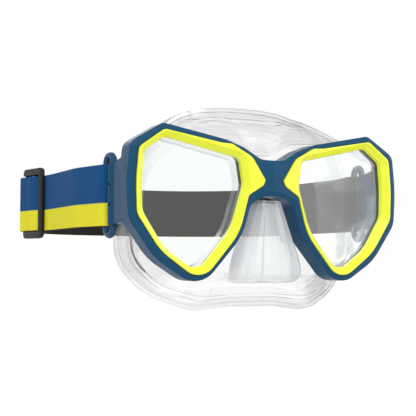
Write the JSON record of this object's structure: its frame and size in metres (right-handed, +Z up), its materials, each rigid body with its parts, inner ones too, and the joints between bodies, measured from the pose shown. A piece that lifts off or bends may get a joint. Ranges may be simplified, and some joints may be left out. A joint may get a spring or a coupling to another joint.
{
  "type": "snorkel mask",
  "caption": "Twin-lens snorkel mask: hard frame, lens rims, glass lenses, clear silicone skirt with nose pocket, swivel rings and a woven head strap with sliders.",
  "frame": {"origin": "centre plane of the mask, in the plane where the skirt meets the face, level with the lens centres", "axes": "+X to the wearer's left, +Y back towards the head, +Z up; the lenses face -Y"},
  "size_m": [0.172, 0.1921, 0.103],
  "materials": {
    "frame": "satin moulded, petrol blue",
    "rim": "satin moulded, lemon yellow",
    "lens": "clear tempered glass",
    "skirt": "clear moulded silicone",
    "ring": "satin moulded, petrol blue",
    "slider": "dark grey moulded",
    "strap": "woven elastic, blue with a yellow lower stripe, black inside",
    "thread": "sewing thread"
  },
  "bodies": {
    "root": {"frame": "frame", "rim_left": "rim", "rim_right": "rim", "lens_left": "lens", "lens_right": "lens", "skirt": "skirt", "strap_back": "strap", "strap_loop_left": "strap", "strap_loop_right": "strap"},
    "ring_left": {"ring_left": "ring"},
    "ring_right": {"ring_right": "ring"},
    "slider_left": {"slider_left": "slider", "stitching_left": "thread"},
    "slider_right": {"slider_right": "slider", "stitching_right": "thread"}
  },
  "joints": [
    {"name": "ring_left_swivel", "type": "hinge", "parent": "root", "child": "ring_left", "pos_m": [0.07281, -0.00742, -0.0045], "axis": [0, 0, 1], "range_deg": [-35, 20], "deforming": ["strap_loop_left"]},
    {"name": "ring_right_swivel", "type": "hinge", "parent": "root", "child": "ring_right", "pos_m": [-0.07281, -0.00742, -0.0045], "axis": [0, 0, 1], "range_deg": [-20, 35], "deforming": ["strap_loop_right"]},
    {"name": "slider_left_slide", "type": "slide", "parent": "root", "child": "slider_left", "axis": [0.2588, 0.9659, 0], "range_m": [-0.02, 0.01], "deforming": ["strap_loop_left"]},
    {"name": "slider_right_slide", "type": "slide", "parent": "root", "child": "slider_right", "axis": [-0.2588, 0.9659, 0], "range_m": [-0.02, 0.01], "deforming": ["strap_loop_right"]}
  ]
}
